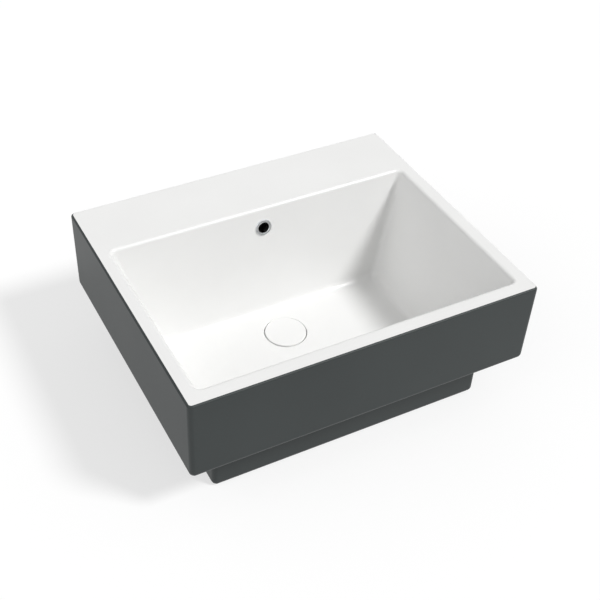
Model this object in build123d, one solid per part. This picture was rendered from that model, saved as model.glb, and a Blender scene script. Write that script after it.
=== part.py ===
from build123d import *
import math
import os

# Countertop basin, in millimetres. The origin is the centre of the base plane. +Z is up,
# +Y points at the wall behind the basin, and +X is to the right of someone who stands at it.

# Outer shape: a box that shows above the worktop, on a smaller step that drops into it
WIDTH = 600
DEPTH = 497
HEIGHT = 247
BOX_HEIGHT = 153
STEP_SIDE_SETBACK = 54
STEP_END_SETBACK = 42
CORNER_R = 8
BOTTOM_EDGE_R = 9.5
SHELF_CORNER_R = 4
RIM_OUTER_R = 3.3

# Bowl: widths of the rim up to the line where the sloping wall would meet it
RIM_SIDE = 24.3
RIM_FRONT = 28.5
TAP_LEDGE = 124.5
RIM_INNER_R = 6
BOWL_DEPTH = 203
SIDE_SLOPE = 15
END_SLOPE = 9
BOWL_CORNER_R = 9
BOWL_FLOOR_R = 16

# Thickness of the casting
BOWL_WALL = 11
BOWL_FLOOR_WALL = 12
BOX_WALL = 12
LEDGE_WALL = 13
FOOT_SIDE = 18
FOOT_END = 14
SIDE_HOLLOW_TOP = 200
HOLLOW_CORNER_R = 16

# Waste hole, with a round recess in the bowl's floor for the cover
DRAIN_Y = 23.5
RECESS_R = 38
RECESS_DEPTH = 6.5
WASTE_HOLE_R = 23
WASTE_BOSS_R = 40
WASTE_HOLE_LENGTH = 19
RECESS_EDGE_R = 1

# Overflow: a hole in the back wall, and a duct cast behind the bowl down to the waste hole
OVERFLOW_DROP = 36.7
OVERFLOW_HOLE_R = 12.5
DUCT_HALF_WIDTH = 22
DUCT_DEPTH = 13
DUCT_FLOOR_HEIGHT = 6.5
DUCT_BASE_WALL = 5
DUCT_BACK_WALL = 7
DUCT_SIDE_WALL = 10
DUCT_TOP_Z = 226
CASING_OVERLAP = 4

# Waste: a flanged tail with a pipe thread, clamped through the bowl's floor
TAIL_R = 20.95
TAIL_BORE_R = 18.5
TAIL_END_Z = 1
RELIEF_WIDTH = 1
RELIEF_DEPTH = 0.8
FLANGE_R = 32
FLANGE_T = 1.5
SEAT_CHAMFER = 1.5
FLANGE_GASKET_T = 1
FLANGE_GASKET_INSET = 1
WINDOW_COUNT = 3
WINDOW_WIDTH = 16
SPIDER_Z = 2.5
SPIDER_T = 4
SPIDER_HUB_R = 6.5
SPIDER_ARM = 4
BASE_GASKET_T = 3
BASE_GASKET_R = 33
BASE_LIP_HEIGHT = 2
BASE_LIP_GAP = 0.2
WASHER_T = 1.5
WASHER_R = 32
NUT_T = 5
NUT_ACROSS_FLATS = 52
THREAD_FIT = 0.05

# Push-to-open cartridge and the plug that it lifts
STUD_R = 4
CUP_R = 8
CUP_BORE_R = 7
CUP_FLOOR_T = 1.5
CUP_TOP_Z = 34
CAP_T = 1.2
CAP_SKIRT = 4
CAP_R = 8.8
STEM_R = 3
STEM_FOOT_Z = 10
COLLAR_Z = 22
COLLAR_T = 3.5
RATCHET_T = 3.5
RATCHET_NOTCHES = 4
NOTCH_SIZE = 2
RUNNING_FIT = 0.06
COLLAR_R = 6.92
SPRING_WIRE = 0.9
SPRING_MEAN_R = 5.2
SPRING_TURNS = 5

COVER_R = 36.5
COVER_T = 5
COVER_EDGE_R = 1.3
COVER_LIFT = 1.5
COVER_POCKET_DEPTH = 1
CARRIER_R = 17.6
CARRIER_BASE_Z = 36.2
STEM_TOP_Z = 40.3
SEAL_Z = 37.9
SEAL_WIRE_R = 1.1
SEAL_OUTER_R = 18.44

# Overflow ring
RING_R = 15
RING_BORE_R = 10
RING_T = 2
RING_EDGE_R = 0.9
SLEEVE_R = 10.8
SLEEVE_LENGTH = 12
BARB_R = 11.6
BARB_LENGTH = 2.5
FINGER_WIDTH = 5

# Heights and lines that follow from these
SHELF_Z = HEIGHT - BOX_HEIGHT
FLOOR_Z = HEIGHT - BOWL_DEPTH
STEP_WIDTH = WIDTH - 2 * STEP_SIDE_SETBACK
STEP_DEPTH = DEPTH - 2 * STEP_END_SETBACK
BOWL_BACK_Y = DEPTH / 2 - TAP_LEDGE
BOWL_FRONT_Y = RIM_FRONT - DEPTH / 2
RECESS_Z = FLOOR_Z - RECESS_DEPTH
BOSS_Z = RECESS_Z - WASTE_HOLE_LENGTH
DUCT_BASE_Z = BOSS_Z + DUCT_BASE_WALL
DUCT_ROOF_Z = DUCT_BASE_Z + DUCT_FLOOR_HEIGHT
FLANGE_BASE_Z = RECESS_Z + FLANGE_GASKET_T
FLANGE_TOP_Z = FLANGE_BASE_Z + FLANGE_T
COVER_TOP_Z = FLOOR_Z + COVER_LIFT
COVER_BASE_Z = COVER_TOP_Z - COVER_T
HUB_TOP_Z = SPIDER_Z + SPIDER_T
CUP_FLOOR_Z = HUB_TOP_Z + CUP_FLOOR_T
RATCHET_Z = COLLAR_Z - RATCHET_T
NUT_TOP_Z = BOSS_Z - BASE_GASKET_T - WASHER_T
NUT_BASE_Z = NUT_TOP_Z - NUT_T
OVERFLOW_Z = HEIGHT - OVERFLOW_DROP

# Reach of the bowl's cutting shape above the rim, how near a matching edge must be, degrees in a
# turn, and facets in a quarter round of a turned piece
TOOL_REACH = 10
NEAR = 0.01
FULL_TURN = 360
ROUND_STEPS = 3


def bowl_block(bottom_z, grow):
    """Sharp-edged block that fills the bowl from bottom_z to above the rim, widened by grow."""
    top_z = HEIGHT + TOOL_REACH
    side_lean = math.tan(math.radians(SIDE_SLOPE))
    end_lean = math.tan(math.radians(END_SLOPE))
    side = [WIDTH / 2 - RIM_SIDE + grow + (z - HEIGHT) * side_lean for z in (bottom_z, top_z)]
    back = [BOWL_BACK_Y + grow + (z - HEIGHT) * end_lean for z in (bottom_z, top_z)]
    front = [BOWL_FRONT_Y - grow - (z - HEIGHT) * end_lean for z in (bottom_z, top_z)]
    across = [(-side[0], bottom_z), (side[0], bottom_z), (side[1], top_z), (-side[1], top_z)]
    along = [(front[0], bottom_z), (back[0], bottom_z), (back[1], top_z), (front[1], top_z)]
    slab_across = extrude(make_face(Plane.XZ * Polyline(*across, close=True)), amount=DEPTH, both=True)
    slab_along = extrude(make_face(Plane.YZ * Polyline(*along, close=True)), amount=WIDTH, both=True)
    return slab_across & slab_along


def corner_edges(shape):
    """Edges that run up and down: the upright corners, and the mitres where rounded bottom edges meet."""
    return [edge for edge in shape.edges() if abs((edge @ 0).Z - (edge @ 1).Z) > NEAR]


def softened(block, bottom_r, corner_r):
    """Block with rounded bottom edges and rounded corners, as it leaves the mould."""
    block = fillet(block.edges().group_by(Axis.Z)[0], bottom_r)
    return fillet(corner_edges(block), corner_r)


def back_wall_y(z):
    """Where the bowl's back wall stands at height z."""
    return BOWL_BACK_Y - (HEIGHT - z) * math.tan(math.radians(END_SLOPE))


def soft_block(width, depth, base_z, top_z):
    """Outer block of the casting, with large bottom edges and finer upright corners."""
    block = Pos(0, 0, (base_z + top_z) / 2) * Box(width, depth, top_z - base_z)
    return softened(block, BOTTOM_EDGE_R, CORNER_R)


def outer_shape():
    """Box and step in one, with a soft inner corner under the shelf."""
    box = soft_block(WIDTH, DEPTH, SHELF_Z, HEIGHT)
    step = soft_block(STEP_WIDTH, STEP_DEPTH, 0, SHELF_Z + BOX_HEIGHT / 2)
    shape = box + step
    inner_corner = [
        edge
        for edge in shape.edges()
        if abs((edge @ 0).Z - SHELF_Z) < NEAR
        and abs((edge @ 1).Z - SHELF_Z) < NEAR
        and abs((edge @ 0.5).X) < STEP_WIDTH / 2 + NEAR
        and abs((edge @ 0.5).Y) < STEP_DEPTH / 2 + NEAR
    ]
    return fillet(inner_corner, SHELF_CORNER_R)


def duct_profile(depth, base_z, roof_z, top_z, inset):
    """Side view of the duct: down behind the bowl, then forward under its floor to the waste hole."""
    outer_skin = [back_wall_y(z) + BOWL_WALL - inset for z in (top_z, base_z, roof_z)]
    points = [
        (outer_skin[0], top_z),
        (outer_skin[0] + inset + depth, top_z),
        (outer_skin[1] + inset + depth, base_z),
        (DRAIN_Y, base_z),
        (DRAIN_Y, roof_z),
        (outer_skin[2], roof_z),
    ]
    return make_face(Plane.YZ * Polyline(*points, close=True))


def duct_passage():
    """Water's way from the overflow hole to the waste hole."""
    profile = duct_profile(DUCT_DEPTH, DUCT_BASE_Z, DUCT_ROOF_Z, DUCT_TOP_Z, 0)
    return extrude(profile, amount=DUCT_HALF_WIDTH, both=True)


def duct_casing():
    """Walls of the duct, sunk a little into the bowl's back wall and floor."""
    profile = duct_profile(
        DUCT_DEPTH + DUCT_BACK_WALL,
        BOSS_Z,
        FLOOR_Z - BOWL_FLOOR_WALL + CASING_OVERLAP,
        HEIGHT - LEDGE_WALL + CASING_OVERLAP,
        CASING_OVERLAP,
    )
    return extrude(profile, amount=DUCT_HALF_WIDTH + DUCT_SIDE_WALL, both=True)


def underside_space():
    """Hollow between the bowl and the outer walls, open at the foot ring."""
    box_base_z = SHELF_Z + BOX_WALL
    foot = extrude(
        RectangleRounded(STEP_WIDTH - 2 * FOOT_SIDE, STEP_DEPTH - 2 * FOOT_END, HOLLOW_CORNER_R),
        amount=box_base_z,
    )
    beside_bowl = extrude(
        Pos(0, 0, box_base_z)
        * RectangleRounded(WIDTH - 2 * BOX_WALL, DEPTH - 2 * BOX_WALL, HOLLOW_CORNER_R),
        amount=SIDE_HOLLOW_TOP - box_base_z,
    )
    ledge_front = BOWL_BACK_Y + BOWL_WALL
    ledge_back = DEPTH / 2 - BOX_WALL
    under_ledge = extrude(
        Pos(0, (ledge_front + ledge_back) / 2, box_base_z)
        * RectangleRounded(WIDTH - 2 * BOX_WALL, ledge_back - ledge_front, HOLLOW_CORNER_R),
        amount=HEIGHT - LEDGE_WALL - box_base_z,
    )
    bowl_skin = bowl_block(FLOOR_Z - BOWL_FLOOR_WALL, BOWL_WALL)
    bowl_skin = fillet(corner_edges(bowl_skin), BOWL_CORNER_R + BOWL_WALL)
    boss_height = FLOOR_Z - BOSS_Z
    boss = Pos(0, DRAIN_Y, BOSS_Z + boss_height / 2) * Cylinder(WASTE_BOSS_R, boss_height)
    return foot + beside_bowl + under_ledge - bowl_skin - duct_casing() - boss


def overflow_plane():
    """Plane on the bowl's back wall at the overflow hole, facing into the bowl."""
    slope = math.radians(END_SLOPE)
    return Plane(
        origin=(0, back_wall_y(OVERFLOW_Z), OVERFLOW_Z),
        x_dir=(1, 0, 0),
        z_dir=(0, -math.cos(slope), math.sin(slope)),
    )


def rim_edges(body, outer):
    """Edges of the flat rim: the outer ones, or those around the bowl."""
    top = [edge for edge in body.edges() if abs((edge @ 0.5).Z - HEIGHT) < NEAR]
    near_x = WIDTH / 2 - CORNER_R
    near_y = DEPTH / 2 - CORNER_R
    return [edge for edge in top if (abs((edge @ 0.5).X) > near_x or abs((edge @ 0.5).Y) > near_y) == outer]


def waste_recess():
    """Round recess for the cover, with the soft lip that glaze leaves at its edge."""
    lip = rounding(RECESS_R + RECESS_EDGE_R, FLOOR_Z - RECESS_EDGE_R, RECESS_EDGE_R, 90)
    top_z = FLOOR_Z + TOOL_REACH
    return turned([(0, RECESS_Z), (RECESS_R, RECESS_Z), *reversed(lip), (lip[0][0], top_z), (0, top_z)])


def basin_body():
    """The one glazed casting: box, step, bowl, tap ledge, overflow duct and waste hole."""
    bowl = softened(bowl_block(FLOOR_Z, 0), BOWL_FLOOR_R, BOWL_CORNER_R)
    body = outer_shape() - underside_space() - bowl - duct_passage()
    body -= waste_recess()
    body -= Pos(0, DRAIN_Y, BOSS_Z + WASTE_HOLE_LENGTH / 2) * Cylinder(WASTE_HOLE_R, WASTE_HOLE_LENGTH)
    body -= overflow_plane() * Cylinder(OVERFLOW_HOLE_R, 2 * BOWL_WALL + DUCT_DEPTH)
    body = fillet(rim_edges(body, False), RIM_INNER_R)
    return fillet(rim_edges(body, True), RIM_OUTER_R)


def turned(points):
    """Ring or shaft turned about the waste's axis from (radius, height) points."""
    outline = make_face(Plane.XZ * Polyline(*points, close=True))
    return Pos(0, DRAIN_Y, 0) * revolve(outline, Axis.Z)


def rounding(centre_r, centre_z, radius, start):
    """Points of a quarter round in a turned outline, from the angle start and anticlockwise."""
    steps = [math.radians(start + i * 90 / ROUND_STEPS) for i in range(ROUND_STEPS + 1)]
    return [(centre_r + radius * math.cos(a), centre_z + radius * math.sin(a)) for a in steps]


def ring(inner_r, outer_r, base_z, height):
    """Plain ring about the waste's axis."""
    top_z = base_z + height
    return turned([(inner_r, base_z), (outer_r, base_z), (outer_r, top_z), (inner_r, top_z)])


def around_waste(shape, count):
    """Copies of a shape, evenly turned about the waste's axis."""
    return [Pos(0, DRAIN_Y, 0) * Rot(0, 0, FULL_TURN * i / count) * shape for i in range(count)]


def waste_body():
    """Flanged tail with overflow windows and a three-armed spider that holds the cartridge."""
    body = turned(
        [
            (TAIL_BORE_R, TAIL_END_Z),
            (TAIL_R, TAIL_END_Z),
            (TAIL_R, NUT_BASE_Z - RELIEF_WIDTH),
            (TAIL_R - RELIEF_DEPTH, NUT_BASE_Z - RELIEF_WIDTH / 2),
            (TAIL_R, NUT_BASE_Z),
            (TAIL_R, FLANGE_BASE_Z),
            (FLANGE_R, FLANGE_BASE_Z),
            (FLANGE_R, FLANGE_TOP_Z),
            (TAIL_BORE_R + SEAT_CHAMFER, FLANGE_TOP_Z),
            (TAIL_BORE_R, FLANGE_TOP_Z - SEAT_CHAMFER),
        ]
    )
    window_z = (DUCT_BASE_Z + DUCT_ROOF_Z) / 2
    window = Pos(0, TAIL_R, window_z) * Box(WINDOW_WIDTH, TAIL_R, DUCT_FLOOR_HEIGHT)
    for cut in around_waste(window, WINDOW_COUNT):
        body -= cut
    spider_mid = SPIDER_Z + SPIDER_T / 2
    arm_end = (TAIL_BORE_R + TAIL_R) / 2
    arm = Pos(0, arm_end / 2, spider_mid) * Box(SPIDER_ARM, arm_end, SPIDER_T)
    for piece in around_waste(arm, WINDOW_COUNT):
        body += piece
    body += Pos(0, DRAIN_Y, spider_mid) * Cylinder(SPIDER_HUB_R, SPIDER_T)
    return body - Pos(0, DRAIN_Y, spider_mid) * Cylinder(STUD_R + THREAD_FIT, SPIDER_T)


def flange_gasket():
    return ring(WASTE_HOLE_R, FLANGE_R - FLANGE_GASKET_INSET, RECESS_Z, FLANGE_GASKET_T)


def base_gasket():
    """Rubber washer whose lip centres it in the waste hole."""
    base_z = BOSS_Z - BASE_GASKET_T
    inner_r = TAIL_R + THREAD_FIT
    return turned(
        [
            (inner_r, base_z),
            (BASE_GASKET_R, base_z),
            (BASE_GASKET_R, BOSS_Z),
            (WASTE_HOLE_R - BASE_LIP_GAP, BOSS_Z),
            (WASTE_HOLE_R - 2 * BASE_LIP_GAP, BOSS_Z + BASE_LIP_HEIGHT),
            (inner_r, BOSS_Z + BASE_LIP_HEIGHT),
        ]
    )


def slip_washer():
    return ring(TAIL_R + THREAD_FIT, WASHER_R, NUT_TOP_Z, WASHER_T)


def lock_nut():
    """Flat hexagonal nut, with its corners chamfered by a cone as a turned nut has."""
    across_corners_r = NUT_ACROSS_FLATS / 2 / math.cos(math.radians(30))
    flat_r = NUT_ACROSS_FLATS / 2
    hexagon = extrude(Pos(0, DRAIN_Y, NUT_BASE_Z) * RegularPolygon(across_corners_r, 6), amount=NUT_T)
    drop = (across_corners_r - flat_r) / 2
    blank = turned(
        [
            (TAIL_R + THREAD_FIT, NUT_TOP_Z),
            (TAIL_R + THREAD_FIT, NUT_BASE_Z),
            (flat_r, NUT_BASE_Z),
            (across_corners_r + drop, NUT_BASE_Z + drop),
            (across_corners_r + drop, NUT_TOP_Z),
        ]
    )
    return hexagon & blank


def cartridge_body():
    """Cup of the push-to-open mechanism, with the stud that screws into the spider."""
    return turned(
        [
            (0, SPIDER_Z),
            (STUD_R, SPIDER_Z),
            (STUD_R, HUB_TOP_Z),
            (CUP_R, HUB_TOP_Z),
            (CUP_R, CUP_TOP_Z),
            (CUP_BORE_R, CUP_TOP_Z),
            (CUP_BORE_R, CUP_FLOOR_Z),
            (0, CUP_FLOOR_Z),
        ]
    )


def cartridge_cap():
    """Lid that guides the stem and snaps over the cup."""
    bore_r = STEM_R + RUNNING_FIT
    skirt_r = CUP_R + THREAD_FIT
    top_z = CUP_TOP_Z + CAP_T
    return turned(
        [
            (bore_r, CUP_TOP_Z),
            (skirt_r, CUP_TOP_Z),
            (skirt_r, CUP_TOP_Z - CAP_SKIRT),
            (CAP_R, CUP_TOP_Z - CAP_SKIRT),
            (CAP_R, top_z),
            (bore_r, top_z),
        ]
    )


def plug_stem():
    """Plunger: its collar rides in the cup and its top screws into the cover's carrier."""
    return turned(
        [
            (0, STEM_FOOT_Z),
            (STEM_R, STEM_FOOT_Z),
            (STEM_R, COLLAR_Z),
            (COLLAR_R, COLLAR_Z),
            (COLLAR_R, COLLAR_Z + COLLAR_T),
            (STEM_R, COLLAR_Z + COLLAR_T),
            (STEM_R, STEM_TOP_Z),
            (0, STEM_TOP_Z),
        ]
    )


def ratchet_ring():
    """Notched ring that turns a step at each push and so latches the stem up or down."""
    body = ring(STEM_R + RUNNING_FIT, COLLAR_R, RATCHET_Z, RATCHET_T)
    notch = Pos(0, COLLAR_R, RATCHET_Z + RATCHET_T / 2) * Box(NOTCH_SIZE, NOTCH_SIZE, RATCHET_T)
    for cut in around_waste(notch, RATCHET_NOTCHES):
        body -= cut
    return body


def click_spring():
    """Wire wound in a helix between the cup's floor and the ratchet ring."""
    height = RATCHET_Z - CUP_FLOOR_Z - SPRING_WIRE
    pitch = height / SPRING_TURNS
    print("spring gap between turns, mm:", round(pitch - SPRING_WIRE, 2))
    path = Helix(pitch, height, SPRING_MEAN_R, center=(0, DRAIN_Y, CUP_FLOOR_Z + SPRING_WIRE / 2))
    section = Plane(path @ 0, z_dir=path % 0) * RegularPolygon(SPRING_WIRE / 2, 6)
    return sweep(section, path, is_frenet=True)


def cover_carrier():
    """Disc under the cover, with the groove of the seal and the threaded socket of the stem."""
    top_z = COVER_BASE_Z + COVER_POCKET_DEPTH
    groove_r = SEAL_OUTER_R - 2 * SEAL_WIRE_R
    return turned(
        [
            (STEM_R, CARRIER_BASE_Z),
            (CARRIER_R, CARRIER_BASE_Z),
            (CARRIER_R, SEAL_Z - SEAL_WIRE_R),
            (groove_r, SEAL_Z - SEAL_WIRE_R),
            (groove_r, SEAL_Z + SEAL_WIRE_R),
            (CARRIER_R, SEAL_Z + SEAL_WIRE_R),
            (CARRIER_R, top_z),
            (0, top_z),
            (0, STEM_TOP_Z),
            (STEM_R, STEM_TOP_Z),
        ]
    )


def plug_seal():
    """Rubber lip ring that closes against the bore of the waste."""
    root_r = SEAL_OUTER_R - 2 * SEAL_WIRE_R
    return turned([(root_r, SEAL_Z - SEAL_WIRE_R), (SEAL_OUTER_R, SEAL_Z), (root_r, SEAL_Z + SEAL_WIRE_R)])


def drain_cover():
    """Ceramic disc glazed as the bowl, with a pocket underneath for its carrier."""
    pocket_z = COVER_BASE_Z + COVER_POCKET_DEPTH
    edge = rounding(COVER_R - COVER_EDGE_R, COVER_TOP_Z - COVER_EDGE_R, COVER_EDGE_R, 0)
    below = [(0, pocket_z), (CARRIER_R, pocket_z), (CARRIER_R, COVER_BASE_Z), (COVER_R, COVER_BASE_Z)]
    return turned(below + edge + [(0, COVER_TOP_Z)])


def overflow_ring():
    """Plated ring, with four barbed fingers that reach through the overflow hole."""
    face = [
        (RING_BORE_R, 0),
        (RING_R, 0),
        *rounding(RING_R - RING_EDGE_R, RING_T - RING_EDGE_R, RING_EDGE_R, 0),
        *rounding(RING_BORE_R + RING_EDGE_R, RING_T - RING_EDGE_R, RING_EDGE_R, 90),
    ]
    sleeve = [
        (RING_BORE_R, -SLEEVE_LENGTH),
        (SLEEVE_R, -SLEEVE_LENGTH),
        (BARB_R, BARB_LENGTH - SLEEVE_LENGTH),
        (SLEEVE_R, BARB_LENGTH - SLEEVE_LENGTH),
        (SLEEVE_R, RING_T / 2),
        (RING_BORE_R, RING_T / 2),
    ]
    body = revolve(make_face(Plane.XZ * Polyline(*face, close=True)), Axis.Z)
    tube = revolve(make_face(Plane.XZ * Polyline(*sleeve, close=True)), Axis.Z)
    upright = Box(FINGER_WIDTH, 2 * RING_R, 2 * SLEEVE_LENGTH)
    level = Box(2 * RING_R, FINGER_WIDTH, 2 * SLEEVE_LENGTH)
    return overflow_plane() * (body + (tube & (upright + level)))


def overflow_bush():
    """Rubber bush that lines the overflow hole and grips the ring's fingers."""
    length = SLEEVE_LENGTH - BARB_LENGTH
    bush = Cylinder(OVERFLOW_HOLE_R, length) - Cylinder(SLEEVE_R, length)
    return overflow_plane() * Pos(0, 0, -length / 2) * bush


PIECES = {
    "basin_body": basin_body,
    "overflow_ring": overflow_ring,
    "overflow_bush": overflow_bush,
    "drain_cover": drain_cover,
    "cover_carrier": cover_carrier,
    "plug_seal": plug_seal,
    "plug_stem": plug_stem,
    "ratchet_ring": ratchet_ring,
    "click_spring": click_spring,
    "cartridge_body": cartridge_body,
    "cartridge_cap": cartridge_cap,
    "waste_body": waste_body,
    "flange_gasket": flange_gasket,
    "base_gasket": base_gasket,
    "slip_washer": slip_washer,
    "lock_nut": lock_nut,
}

os.makedirs("parts", exist_ok=True)
for name, make in PIECES.items():
    piece = make()
    export_step(piece, f"parts/{name}.step")
    print(name, round(piece.volume / 1000, 2), "cm3")
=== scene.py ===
# %% [markdown]
# A countertop basin in two glazes, and how it is dressed
#
# The shape comes from the CAD frame: one large ceramic casting, a waste with a push-to-open cover, and
# an overflow ring. This lesson gives each surface the finish that it has on the real object, adds the
# few details that are too fine for the CAD, and then builds the studio around it.

# %% Load the frame
import math

import bpy
from mathutils import Matrix, Vector


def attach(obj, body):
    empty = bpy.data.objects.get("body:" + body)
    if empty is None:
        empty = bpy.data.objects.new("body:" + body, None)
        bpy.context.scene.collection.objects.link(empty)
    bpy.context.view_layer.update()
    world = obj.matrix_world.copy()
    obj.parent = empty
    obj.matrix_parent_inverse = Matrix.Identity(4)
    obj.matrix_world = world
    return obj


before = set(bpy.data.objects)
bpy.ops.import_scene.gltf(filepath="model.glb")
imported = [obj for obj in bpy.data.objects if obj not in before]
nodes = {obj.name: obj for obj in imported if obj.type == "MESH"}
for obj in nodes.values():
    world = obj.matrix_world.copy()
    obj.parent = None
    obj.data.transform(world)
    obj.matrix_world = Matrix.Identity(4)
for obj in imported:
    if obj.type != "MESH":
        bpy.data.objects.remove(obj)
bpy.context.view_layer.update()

# %% [markdown]
# The driving sizes are repeated here in metres, because this file can't read the part's source. They
# are only used to tell the surfaces of the casting apart and to place the fine details. The skin is the
# margin that a face is allowed when it is told by where it lies.

# %% Sizes of the object, in metres
MM = 0.001
HEIGHT = 247 * MM
HALF_WIDTH = 300 * MM
HALF_DEPTH = 248.5 * MM
SHELF = 94 * MM
STEP_HALF_WIDTH = 246 * MM
STEP_HALF_DEPTH = 206.5 * MM
RIM_ROUNDING = 3.3 * MM
RIM_INNER_ROUNDING = 6 * MM
DRAIN_Y = 23.5 * MM
SIDE_LEAN = math.tan(math.radians(15))
END_LEAN = math.tan(math.radians(9))
BOWL_HALF_WIDTH = 275.7 * MM
BOWL_BACK = 124 * MM
BOWL_FRONT = -220 * MM
RECESS_FLOOR = 37.5 * MM
SKIN = 1 * MM
bowl_size = (2 * BOWL_HALF_WIDTH, BOWL_BACK - BOWL_FRONT)
print("bowl at the rim:", [round(side / MM, 1) for side in bowl_size], "mm")

# %% [markdown]
# Colours are written as sRGB hex values, the way a colour picker gives them. Blender's shaders work in
# linear light, so one function converts them. A second small function adds a node, sets its properties
# and fills its sockets, and every material in this file is made with these two.

# %% Helpers for colours and nodes
def linear(code):
    """sRGB hex, such as #F4F4F2, as an opaque linear colour."""
    parts = [int(code[i : i + 2], 16) / 255 for i in (1, 3, 5)]
    return (*[p / 12.92 if p <= 0.04045 else ((p + 0.055) / 1.055) ** 2.4 for p in parts], 1.0)


def add(tree, kind, inputs=None, **settings):
    """Adds one node. A socket takes a value or another node's output."""
    made = tree.nodes.new(kind)
    for name, value in settings.items():
        setattr(made, name, value)
    for socket, value in (inputs or {}).items():
        if isinstance(value, bpy.types.NodeSocket):
            tree.links.new(value, made.inputs[socket])
        else:
            made.inputs[socket].default_value = value
    return made


print("mid grey #808080 in linear light:", round(linear("#808080")[0], 3))

# %% [markdown]
# Every material starts the same way: a shader, and the object's own coordinates in metres for its
# patterns. A pattern can then tint the surface between two close tones, lift it by a fraction of a
# millimetre, or make its gloss wander.

# %% Helpers for materials
def per_metre(size_mm):
    """Scale of a pattern whose features are size_mm apart."""
    return 1 / (size_mm * MM)


def surface(name, roughness, metallic=0.0, **sockets):
    """New material: its node tree, its shader and the object's own coordinates, in metres."""
    made = bpy.data.materials.new(name)
    made.use_nodes = True
    tree = made.node_tree
    shader = tree.nodes["Principled BSDF"]
    shader.inputs["Roughness"].default_value = roughness
    shader.inputs["Metallic"].default_value = metallic
    for socket, value in sockets.items():
        shader.inputs[socket.replace("_", " ")].default_value = value
    place = add(tree, "ShaderNodeTexCoord").outputs["Object"]
    return made, tree, shader, place


def two_tones(tree, shader, pattern, low, high, dark, light):
    """Colours the shader between two tones where the pattern runs from low to high."""
    ramp = add(tree, "ShaderNodeValToRGB", {"Fac": pattern})
    ramp.color_ramp.elements[0].position = low
    ramp.color_ramp.elements[0].color = linear(dark)
    ramp.color_ramp.elements[1].position = high
    ramp.color_ramp.elements[1].color = linear(light)
    tree.links.new(ramp.outputs["Color"], shader.inputs["Base Color"])


def relief(tree, shader, pattern, height_mm, strength):
    """Lets a pattern lift the surface by height_mm."""
    sockets = {"Strength": strength, "Distance": height_mm * MM, "Height": pattern}
    bump = add(tree, "ShaderNodeBump", sockets)
    tree.links.new(bump.outputs["Normal"], shader.inputs["Normal"])


def uneven_gloss(tree, shader, pattern, least, most):
    """Lets the roughness wander between two values with a pattern."""
    gloss = add(tree, "ShaderNodeMapRange", {"Value": pattern, "To Min": least, "To Max": most})
    tree.links.new(gloss.outputs["Result"], shader.inputs["Roughness"])


print("a pattern of 2 mm repeats", round(per_metre(2)), "times in a metre")

# %% [markdown]
# The bowl is white sanitary glaze on fireclay. The glaze is sprayed and fired, so it is a thin layer of
# glass: an even, slightly soft white, a gentle shine, and a very shallow ripple a couple of
# centimetres long that only shows in reflections. Noise at two sizes gives the ripple and the faint
# clouding of the white. A flat white would look like paper.

# %% White sanitary glaze
WHITE_RIPPLE_MM = 18
WHITE_CLOUD_MM = 140


def white_sanitary_glaze():
    made, tree, shader, place = surface("white_sanitary_glaze", roughness=0.3, IOR=1.5)
    clouds = {"Vector": place, "Scale": per_metre(WHITE_CLOUD_MM), "Detail": 3.0}
    cloud = add(tree, "ShaderNodeTexNoise", clouds).outputs["Fac"]
    two_tones(tree, shader, cloud, low=0.3, high=0.7, dark="#EBEBEA", light="#EEEEED")
    ripples = {"Vector": place, "Scale": per_metre(WHITE_RIPPLE_MM), "Detail": 2.0}
    ripple = add(tree, "ShaderNodeTexNoise", ripples).outputs["Fac"]
    relief(tree, shader, ripple, height_mm=0.05, strength=0.3)
    uneven_gloss(tree, shader, cloud, least=0.26, most=0.36)
    return made


white_glaze = white_sanitary_glaze()
print("white glaze ripple:", WHITE_RIPPLE_MM, "mm")

# %% [markdown]
# The outside wears a second glaze, an anthracite satin one with a slight green in it. Tiny crystals
# grow in a satin glaze as it cools, so its shine is broad and soft, and weaker than a clear glaze's:
# the specular level is half of the usual one. The surface breaks into slightly lighter specks a
# millimetre or so across. They are drawn at 1.6 mm, so that they survive at this size of picture.

# %% Anthracite satin glaze
SPECK_MM = 1.6
SHADE_MM = 260
SPECK_SHARE = 0.3
SATIN_SPECULAR = 0.25


def anthracite_satin_glaze():
    made, tree, shader, place = surface(
        "anthracite_satin_glaze", roughness=0.45, IOR=1.5, Specular_IOR_Level=SATIN_SPECULAR
    )
    shades = {"Vector": place, "Scale": per_metre(SHADE_MM), "Detail": 2.0}
    shade = add(tree, "ShaderNodeTexNoise", shades).outputs["Fac"]
    specks = {"Vector": place, "Scale": per_metre(SPECK_MM), "Detail": 2.0}
    speck = add(tree, "ShaderNodeTexNoise", specks).outputs["Fac"]
    blend = {"Factor": SPECK_SHARE, "A": shade, "B": speck}
    tone = add(tree, "ShaderNodeMix", blend, data_type="FLOAT").outputs["Result"]
    two_tones(tree, shader, tone, low=0.35, high=0.65, dark="#303535", light="#363B3B")
    relief(tree, shader, speck, height_mm=0.03, strength=0.25)
    uneven_gloss(tree, shader, shade, least=0.4, most=0.5)
    return made


dark_glaze = anthracite_satin_glaze()
print("anthracite glaze specks:", SPECK_MM, "mm")

# %% [markdown]
# The ring that the basin stands on is wiped clean before firing, or it would stick to the kiln shelf.
# There, and in the hollow underneath, the body shows: buff fireclay with grog, the crushed fired clay
# that gives it a sandy feel. Its grains are about half a millimetre, drawn at 0.9 mm. The overflow
# duct is the same clay, but it is given a near-black tone. This is painted shade for the dark hole
# that the duct shows, not a colour that the clay has.

# %% Bare fireclay, and the duct's clay in painted shade
GROG_MM = 0.9


def bare_fireclay(name, dark, light):
    made, tree, shader, place = surface(name, roughness=0.85)
    grains = {"Vector": place, "Scale": per_metre(GROG_MM), "Detail": 4.0}
    grog = add(tree, "ShaderNodeTexNoise", grains).outputs["Fac"]
    two_tones(tree, shader, grog, low=0.35, high=0.7, dark=dark, light=light)
    relief(tree, shader, grog, height_mm=0.2, strength=0.6)
    return made


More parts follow.
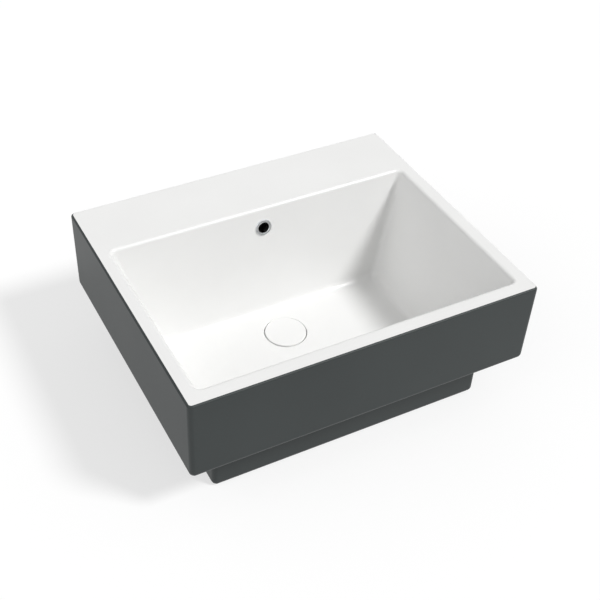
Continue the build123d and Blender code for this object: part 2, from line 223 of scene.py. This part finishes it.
dry_clay = bare_fireclay("bare_fireclay", "#B9AE9C", "#D2C8B7")
# The duct's near-black tone is painted shade for the dark hole, not the clay's own colour.
painted_shade_duct_clay = bare_fireclay("duct_fireclay_painted_shade", "#141312", "#1E1C1A")
print("fireclay grog:", GROG_MM, "mm")

# %% [markdown]
# The frame's casting is one mesh in one slot. Each of its faces is told by where it lies: outside the
# box or the step it is anthracite, inside the bowl and on the rim it is white, in the duct it is clay
# painted near-black as painted shade, and what is left is the bare hollow underneath. Only the
# material number of a face changes, so the mesh stays the frame's own.
#
# The two glazes meet on the rounded outer edge of the top. On the left and at the front the whole
# rounding is dark. On the right and at the back the white wraps over most of it.

# %% Sort the casting's faces by finish
FOOT_LINE = 0.1 * MM
TOP_FLAT = HEIGHT - 0.01 * MM
WHITE_WRAP = 2.2 * MM
OUTER_BAND = 9 * MM
DUCT_FLOOR = 22 * MM
DUCT_ROOF = 230 * MM
SHAFT_HALF_WIDTH = 22.5 * MM
SHAFT_REACH = 25 * MM
CHANNEL_HALF_WIDTH = 23.5 * MM
CHANNEL_FRONT = -2 * MM


def bowl_limits(z):
    """Half width, front and back of the bowl at height z."""
    down = HEIGHT - z
    return BOWL_HALF_WIDTH - down * SIDE_LEAN, BOWL_FRONT + down * END_LEAN, BOWL_BACK - down * END_LEAN


def glaze_line(p):
    """Height where the dark glaze ends and the white one begins."""
    wraps = p.x > HALF_WIDTH - RIM_ROUNDING or p.y > HALF_DEPTH - RIM_ROUNDING
    return HEIGHT - WHITE_WRAP if wraps else TOP_FLAT


def is_outside(p):
    """On the outer walls, whose rounded corners lie within a band, or under the box's shelf."""
    above = p.z > SHELF - SKIN / 2
    half_x, half_y = (HALF_WIDTH, HALF_DEPTH) if above else (STEP_HALF_WIDTH, STEP_HALF_DEPTH)
    at_wall = abs(p.x) > half_x - OUTER_BAND or abs(p.y) > half_y - OUTER_BAND
    past_step = abs(p.x) > STEP_HALF_WIDTH - SKIN or abs(p.y) > STEP_HALF_DEPTH - SKIN
    under_shelf = above and p.z < SHELF + SKIN and past_step
    return FOOT_LINE < p.z < glaze_line(p) and (at_wall or under_shelf)


def is_in_duct(p):
    """In the shaft behind the bowl or in the channel under its floor."""
    bowl_back = bowl_limits(p.z)[2]
    in_shaft = abs(p.x) < SHAFT_HALF_WIDTH and bowl_back + SKIN < p.y < bowl_back + SHAFT_REACH
    in_channel = abs(p.x) < CHANNEL_HALF_WIDTH and p.y > CHANNEL_FRONT and p.z < RECESS_FLOOR - SKIN
    return DUCT_FLOOR < p.z < DUCT_ROOF and (in_shaft or in_channel)


def is_white(p):
    """In the bowl or on the rim. Outside faces have been told apart before this is asked."""
    half, front, back = bowl_limits(p.z)
    in_bowl = abs(p.x) < half + SKIN and front - SKIN < p.y < back + SKIN
    return (p.z > RECESS_FLOOR - SKIN and in_bowl) or p.z > HEIGHT - RIM_INNER_ROUNDING


FINISHES = [white_glaze, dark_glaze, dry_clay, painted_shade_duct_clay]
WHITE, DARK, BARE, DUCT = range(len(FINISHES))
casting = nodes["basin_body"]
casting.data.materials.clear()
for finish in FINISHES:
    casting.data.materials.append(finish)
counts = [0] * len(FINISHES)
for face in casting.data.polygons:
    if is_outside(face.center):
        face.material_index = DARK
    # Faces in the duct get the near-black clay, which is painted shade.
    elif is_in_duct(face.center):
        face.material_index = DUCT
    elif is_white(face.center):
        face.material_index = WHITE
    else:
        face.material_index = BARE
    counts[face.material_index] += 1
print("casting faces by finish:", dict(zip(("white", "dark", "bare", "duct"), counts)))

# %% [markdown]
# The overflow ring and the waste are brass with a chrome plate. Chrome is a mirror with a faint blue
# cast. It is never perfect: wiping leaves hairlines a few tenths of a millimetre apart, drawn at
# 0.6 mm, which blur the reflection by a few percent.

# %% Chrome plate
HAIRLINE_MM = 0.6


def chrome_plate():
    made, tree, shader, place = surface("chrome_plate", roughness=0.08, metallic=1.0)
    hairlines = {"Vector": place, "Scale": per_metre(HAIRLINE_MM), "Detail": 3.0}
    wipe = add(tree, "ShaderNodeTexNoise", hairlines).outputs["Fac"]
    two_tones(tree, shader, wipe, low=0.3, high=0.7, dark="#DADDE0", light="#E6E8EA")
    relief(tree, shader, wipe, height_mm=0.01, strength=0.2)
    uneven_gloss(tree, shader, wipe, least=0.06, most=0.14)
    return made


chrome = chrome_plate()
print("chrome hairlines:", HAIRLINE_MM, "mm")

# %% [markdown]
# The lock nut and the stem are turned from brass bar. The tool leaves a fine spiral, so the shine is
# in rings around the axis. A wave texture in rings about the waste's axis makes them, with a feed of
# 0.25 mm drawn as 0.8 mm.

# %% Turned brass
FEED_MM = 0.8


def turned_brass():
    made, tree, shader, place = surface("turned_brass", roughness=0.28, metallic=1.0)
    centred = add(tree, "ShaderNodeMapping", {"Vector": place, "Location": (0, -DRAIN_Y, 0)})
    waves = {
        "Vector": centred.outputs["Vector"],
        "Scale": per_metre(FEED_MM) / (2 * math.pi),
        "Distortion": 0.4,
    }
    wave = add(tree, "ShaderNodeTexWave", waves, wave_type="RINGS", rings_direction="Z")
    rings = wave.outputs["Fac"]
    two_tones(tree, shader, rings, low=0.2, high=0.9, dark="#B58E45", light="#CDA862")
    relief(tree, shader, rings, height_mm=0.02, strength=0.4)
    return made


brass = turned_brass()
print("brass turning rings:", FEED_MM, "mm")

# %% [markdown]
# The spring is drawn stainless wire: grey, slightly satin, with draw lines along it that are too fine
# to see, so a soft noise in its gloss stands for them.

# %% Drawn stainless wire
WIRE_GRAIN_MM = 0.4


def drawn_stainless_wire():
    made, tree, shader, place = surface("drawn_stainless_wire", roughness=0.3, metallic=1.0)
    grains = {"Vector": place, "Scale": per_metre(WIRE_GRAIN_MM), "Detail": 2.0}
    grain = add(tree, "ShaderNodeTexNoise", grains).outputs["Fac"]
    two_tones(tree, shader, grain, low=0.3, high=0.7, dark="#A9ABAC", light="#BFC1C2")
    uneven_gloss(tree, shader, grain, least=0.24, most=0.38)
    return made


wire = drawn_stainless_wire()
print("wire grain:", WIRE_GRAIN_MM, "mm")

# %% [markdown]
# The seals are moulded: black EPDM rubber for the plug's ring, the overflow's bush and the washer under
# the bowl, and grey silicone under the flange. Rubber is dull, with a bloom of slightly paler patches.
# The plastics are acetal, which is white and waxy, and black ABS with a fine spark-eroded grain. For
# each, the helper takes its two tones, its roughness, and the size and the depth of its grain.

# %% Rubber, silicone and moulded plastics
def moulded(name, dark, light, roughness, grain_mm, depth_mm):
    """Moulded material with a fine grain."""
    made, tree, shader, place = surface(name, roughness)
    grains = {"Vector": place, "Scale": per_metre(grain_mm), "Detail": 3.0}
    grain = add(tree, "ShaderNodeTexNoise", grains).outputs["Fac"]
    two_tones(tree, shader, grain, low=0.35, high=0.7, dark=dark, light=light)
    relief(tree, shader, grain, depth_mm, strength=0.4)
    return made


epdm_rubber = moulded("black_epdm_rubber", "#171717", "#222222", 0.7, 1.2, 0.03)
silicone = moulded("grey_silicone", "#8E8F8C", "#9B9C99", 0.5, 2.0, 0.02)
acetal = moulded("white_acetal", "#E4E3DC", "#EEEDE8", 0.42, 1.5, 0.02)
black_abs = moulded("black_abs", "#1B1C1E", "#26282A", 0.48, 0.5, 0.03)
print("moulded:", [made.name for made in (epdm_rubber, silicone, acetal, black_abs)])

# %% [markdown]
# The other fifteen nodes have one finish each. The cover wears the bowl's own white glaze. Most of the
# rest is hidden under it, but it is there for a cut view or for a basin that is taken apart.

# %% Dress the other nodes
NODE_FINISHES = {
    "drain_cover": white_glaze,
    "overflow_ring": chrome,
    "waste_body": chrome,
    "lock_nut": brass,
    "plug_stem": brass,
    "click_spring": wire,
    "plug_seal": epdm_rubber,
    "overflow_bush": epdm_rubber,
    "base_gasket": epdm_rubber,
    "flange_gasket": silicone,
    "slip_washer": acetal,
    "ratchet_ring": acetal,
    "cartridge_cap": acetal,
    "cartridge_body": black_abs,
    "cover_carrier": black_abs,
}
for name, finish in NODE_FINISHES.items():
    nodes[name].data.materials.clear()
    nodes[name].data.materials.append(finish)
print("nodes with one finish:", len(NODE_FINISHES), "of", len(nodes))

# %% [markdown]
# A pipe thread of 11 turns per inch is cut on the waste's tail. In the frame the tail is a plain
# cylinder at the crest, so the thread is added here as one helical ridge on the stretch below the nut.
# It is a strip of small rings of points that climb by one pitch per turn, with both ends run out to
# nothing, as a die leaves them.
#
# The profile's first number is how far a point stands out, as a share of the ridge, and its second is
# how far up it lies, as a share of the pitch. The ridge's foot is sunk a little into the tail.

# %% Thread on the tail
TAIL_RADIUS = 20.95 * MM
PITCH = 25.4 / 11 * MM
RIDGE = 0.45 * MM
RIDGE_SINK = 0.05 * MM
THREAD_FOOT = 2.0 * MM
THREAD_TOP = 7.2 * MM
THREAD_PROFILE = [(0.0, -0.42), (1.0, -0.08), (1.0, 0.08), (0.0, 0.42)]
STEPS_PER_TURN = 96
RUN_OUT_STEPS = STEPS_PER_TURN // 3


def tail_thread():
    turns = (THREAD_TOP - THREAD_FOOT) / PITCH
    count = int(turns * STEPS_PER_TURN)
    points, faces = [], []
    for i in range(count + 1):
        angle = 2 * math.pi * i / STEPS_PER_TURN
        run_out = min(1.0, i / RUN_OUT_STEPS, (count - i) / RUN_OUT_STEPS)
        z = THREAD_FOOT + PITCH * i / STEPS_PER_TURN
        for out, up in THREAD_PROFILE:
            radius = TAIL_RADIUS - RIDGE_SINK + RIDGE * out * run_out
            points.append((radius * math.cos(angle), DRAIN_Y + radius * math.sin(angle), z + up * PITCH))
    width = len(THREAD_PROFILE)
    for i in range(count):
        for k in range(width):
            after = (k + 1) % width
            a, b = i * width, (i + 1) * width
            faces.append((a + k, b + k, b + after, a + after))
    faces.append(tuple(range(width - 1, -1, -1)))
    faces.append(tuple(count * width + k for k in range(width)))
    mesh = bpy.data.meshes.new("tail_thread")
    mesh.from_pydata(points, [], faces)
    mesh.validate()
    ridge = bpy.data.objects.new("tail_thread", mesh)
    bpy.context.scene.collection.objects.link(ridge)
    mesh.materials.append(chrome)
    return ridge


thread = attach(tail_thread(), "basin")
print("thread pitch:", round(PITCH / MM, 3), "mm, faces:", len(thread.data.polygons))

# %% [markdown]
# The camera stands to the left of the basin and above it. Its place, turn and lens come from fitting
# the basin's straight edges in perspective. The picture was cropped off centre, which the lens shift
# repeats.

# %% Camera
AZIMUTH, ELEVATION, ROLL = (math.radians(v) for v in (-27.36, 42.41, -1.32))
CAMERA_PLACE = Vector((-0.67140, -1.17534, 1.31590))
FOCAL_PIXELS = 1058.35
CENTRE_X = 260.13
CENTRE_Y = 324.04
FRAME_PIXELS = 600
SENSOR_MM = 36
FARTHEST_SEEN = 50


def photo_camera():
    back = Vector(
        (
            math.sin(AZIMUTH) * math.cos(ELEVATION),
            -math.cos(AZIMUTH) * math.cos(ELEVATION),
            math.sin(ELEVATION),
        )
    )
    right = (-back).cross(Vector((0, 0, 1))).normalized()
    down = (-back).cross(right)
    side = math.cos(ROLL) * right + math.sin(ROLL) * down
    under = -math.sin(ROLL) * right + math.cos(ROLL) * down
    data = bpy.data.cameras.new("photo_camera")
    data.sensor_width = SENSOR_MM
    data.lens = FOCAL_PIXELS / FRAME_PIXELS * SENSOR_MM
    data.shift_x = (FRAME_PIXELS / 2 - CENTRE_X) / FRAME_PIXELS
    data.shift_y = (CENTRE_Y - FRAME_PIXELS / 2) / FRAME_PIXELS
    data.clip_end = FARTHEST_SEEN
    camera = bpy.data.objects.new("photo_camera", data)
    turn = Matrix((side, -under, back)).transposed()
    camera.matrix_world = Matrix.Translation(CAMERA_PLACE) @ turn.to_4x4()
    bpy.context.scene.collection.objects.link(camera)
    bpy.context.scene.camera = camera
    return camera


camera = photo_camera()
print("lens:", round(camera.data.lens, 2), "mm")

# %% [markdown]
# The basin stands on a white floor without a horizon. Part of the floor's white is light of its own,
# which only rays from the camera, off a mirror or through glass can see. The rest is paint, which keeps
# the soft shadow. For all other rays the floor is paint alone. In the same way the world is white to
# those rays, and lights the object more weakly.

# %% Floor and world
FLOOR_HALF = 12
FLOOR_GLOW = 0.58
GLOW_STRENGTH = 1.1
WORLD_FILL = 0.38
PURE_WHITE = (1, 1, 1, 1)


def seen_rays(tree):
    """1 for rays that show the background: from the camera, off a mirror or through glass."""
    rays = add(tree, "ShaderNodeLightPath").outputs
    pair = {0: rays["Is Camera Ray"], 1: rays["Is Glossy Ray"]}
    direct = add(tree, "ShaderNodeMath", pair, operation="MAXIMUM")
    pair = {0: direct.outputs[0], 1: rays["Is Transmission Ray"]}
    return add(tree, "ShaderNodeMath", pair, operation="MAXIMUM").outputs[0]


def white_floor():
    mesh = bpy.data.meshes.new("studio_floor")
    h = FLOOR_HALF
    mesh.from_pydata([(-h, -h, 0), (h, -h, 0), (h, h, 0), (-h, h, 0)], [], [(0, 1, 2, 3)])
    floor = bpy.data.objects.new("studio_floor", mesh)
    bpy.context.scene.collection.objects.link(floor)
    made = bpy.data.materials.new("white_studio_floor")
    made.use_nodes = True
    tree = made.node_tree
    tree.nodes.clear()
    share = add(tree, "ShaderNodeMath", {0: seen_rays(tree), 1: FLOOR_GLOW}, operation="MULTIPLY")
    paint = add(tree, "ShaderNodeBsdfDiffuse", {"Color": linear("#F2F2F2")})
    glow = add(tree, "ShaderNodeEmission", {"Color": PURE_WHITE, "Strength": GLOW_STRENGTH})
    mix = add(tree, "ShaderNodeMixShader", {0: share.outputs[0], 1: paint.outputs[0], 2: glow.outputs[0]})
    add(tree, "ShaderNodeOutputMaterial", {"Surface": mix.outputs[0]})
    mesh.materials.append(made)


def white_world():
    world = bpy.data.worlds.new("white_studio")
    bpy.context.scene.world = world
    world.use_nodes = True
    tree = world.node_tree
    tree.nodes.clear()
    fill = add(tree, "ShaderNodeBackground", {"Color": PURE_WHITE, "Strength": WORLD_FILL})
    white = add(tree, "ShaderNodeBackground", {"Color": PURE_WHITE, "Strength": 1.0})
    mix = add(tree, "ShaderNodeMixShader", {0: seen_rays(tree), 1: fill.outputs[0], 2: white.outputs[0]})
    add(tree, "ShaderNodeOutputWorld", {"Surface": mix.outputs[0]})


white_floor()
white_world()
print("floor glow:", FLOOR_GLOW, "world fill:", WORLD_FILL)

# %% [markdown]
# The key light comes from the right, from in front and from well above, so the right wall of the bowl
# throws its soft shadow on the back wall and the floor. Its angle sets how fast the shadow's edge
# widens: twelve degrees, as a softbox looks from the bowl. A weak and very broad fill from the left
# lifts the dark side that faces the camera. Both shine from far away, so they light every spot alike.
# The colours are shown as they are computed, without a film's curve.

# %% Key light and fill light
KEY_DIRECTION = Vector((0.59, -0.62, 1.0)).normalized()
KEY_DEGREES = 12
KEY_STRENGTH = 2.25
FILL_DIRECTION = Vector((-1.0, -0.15, 0.5)).normalized()
FILL_DEGREES = 60
FILL_STRENGTH = 0.6


def soft_light(name, direction, degrees, strength):
    data = bpy.data.lights.new(name, "SUN")
    data.angle = math.radians(degrees)
    data.energy = strength
    lamp = bpy.data.objects.new(name, data)
    lamp.rotation_euler = direction.to_track_quat("Z", "Y").to_euler()
    bpy.context.scene.collection.objects.link(lamp)


soft_light("key_light", KEY_DIRECTION, KEY_DEGREES, KEY_STRENGTH)
soft_light("fill_light", FILL_DIRECTION, FILL_DEGREES, FILL_STRENGTH)
bpy.context.scene.view_settings.view_transform = "Standard"
print("key light stands", round(math.degrees(math.asin(KEY_DIRECTION.z))), "degrees above the floor")
